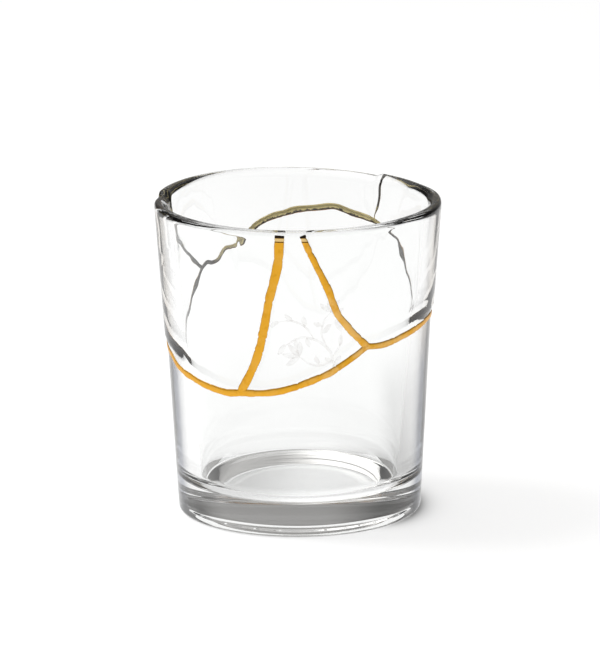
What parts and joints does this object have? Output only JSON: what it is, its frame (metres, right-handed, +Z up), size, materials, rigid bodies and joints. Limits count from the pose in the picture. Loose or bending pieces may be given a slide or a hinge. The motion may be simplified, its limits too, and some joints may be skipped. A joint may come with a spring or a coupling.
{
  "type": "kintsugi tumbler",
  "caption": "Clear moulded glass tumbler with proud shard-shaped panels round its upper wall and raised gold seams along every break line.",
  "frame": {"origin": "centre of the underside, on the surface that the tumbler stands on", "axes": "+Z up along the glass's own axis, -Y towards the front shard, +X to its right"},
  "size_m": [0.0867, 0.0845, 0.0973],
  "materials": {
    "clear_glass": "clear, colourless, fire-polished moulded glass",
    "gold_paint": "warm orange gold, satin, brushed on by hand as a raised line"
  },
  "bodies": {
    "root": {"glass_tumbler": "clear_glass", "gold_seams": "gold_paint"}
  },
  "joints": []
}
